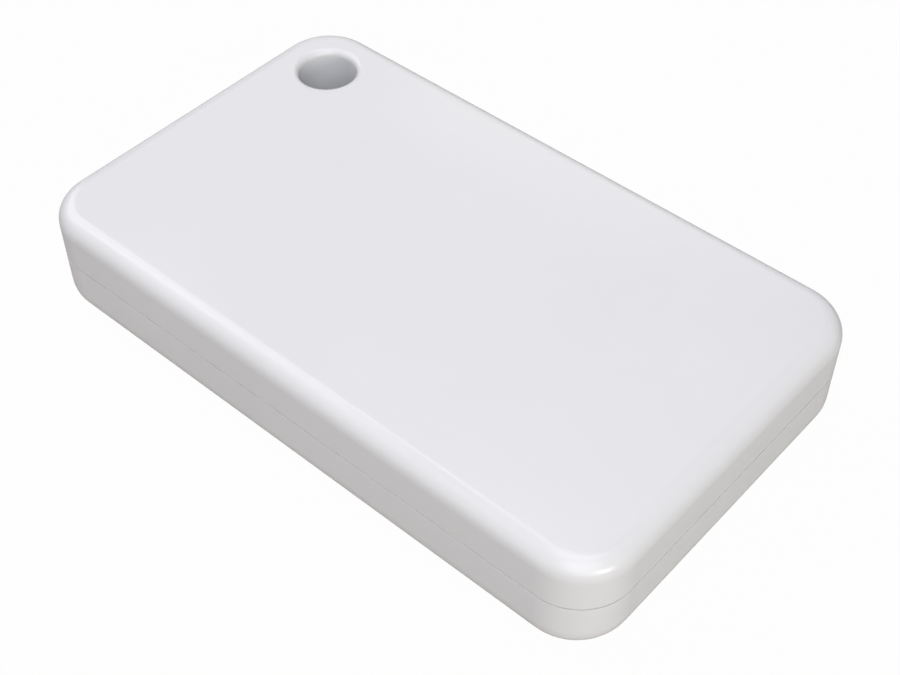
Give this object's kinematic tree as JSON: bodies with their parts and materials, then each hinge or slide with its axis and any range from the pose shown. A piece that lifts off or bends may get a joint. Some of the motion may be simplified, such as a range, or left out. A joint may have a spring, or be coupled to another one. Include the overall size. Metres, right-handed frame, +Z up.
{
  "type": "bluetooth beacon tag",
  "caption": "Card-shaped white two-shell case with a lanyard hole in one corner, holding a radio board and a coin cell.",
  "frame": {"origin": "middle of the flat underside", "axes": "+X along the length, away from the lanyard hole; +Y across, to the side with the hole; +Z up"},
  "size_m": [0.0522, 0.031, 0.009],
  "materials": {
    "case_white": "satin",
    "seal_silicone": "satin",
    "board_green": "satin",
    "holder_black": "matte",
    "contact_metal": "polished",
    "cell_steel": "satin",
    "gasket_plastic": "satin",
    "electrode_grey": "matte",
    "chip_epoxy": "matte",
    "crystal_lid": "satin",
    "antenna_ceramic": "satin",
    "inductor_ceramic": "satin",
    "capacitor_ceramic": "satin",
    "resistor_film": "satin",
    "led_clear": "gloss",
    "switch_plastic": "satin",
    "switch_steel": "satin",
    "plunger_plastic": "satin"
  },
  "bodies": {
    "base": {"bottom_cover": "case_white", "sleeve_seal": "seal_silicone", "circuit_board": "board_green", "battery_holder": "holder_black", "positive_contact": "contact_metal", "negative_contact": "contact_metal", "radio_chip": "chip_epoxy", "main_crystal": "crystal_lid", "clock_crystal": "crystal_lid", "chip_antenna": "antenna_ceramic", "matching_inductors": "inductor_ceramic", "power_inductor": "inductor_ceramic", "bulk_capacitor": "capacitor_ceramic", "decoupling_capacitors": "capacitor_ceramic", "chip_resistors": "resistor_film", "motion_sensor": "chip_epoxy", "status_led": "led_clear", "switch_base": "switch_plastic", "switch_frame": "switch_steel"},
    "lid": {"top_cover": "case_white", "seal_ring": "seal_silicone"},
    "coin_cell": {"cell_can": "cell_steel", "cell_cap": "cell_steel", "cell_gasket": "gasket_plastic", "cell_core": "electrode_grey"},
    "plunger": {"switch_plunger": "plunger_plastic"}
  },
  "joints": [
    {"name": "cover_lift", "type": "slide", "parent": "base", "child": "lid", "axis": [0, 0, 1], "range_m": [0, 0.03]},
    {"name": "cell_lift", "type": "slide", "parent": "base", "child": "coin_cell", "axis": [0, 0, 1], "range_m": [0, 0.015]},
    {"name": "switch_press", "type": "slide", "parent": "base", "child": "plunger", "axis": [0, 0, -1], "range_m": [0, 0.00025], "stiffness_N_per_m": 400}
  ],
  "couplings": [
    {"joint": "cell_lift", "follows": "cover_lift", "ratio": 0.5}
  ]
}
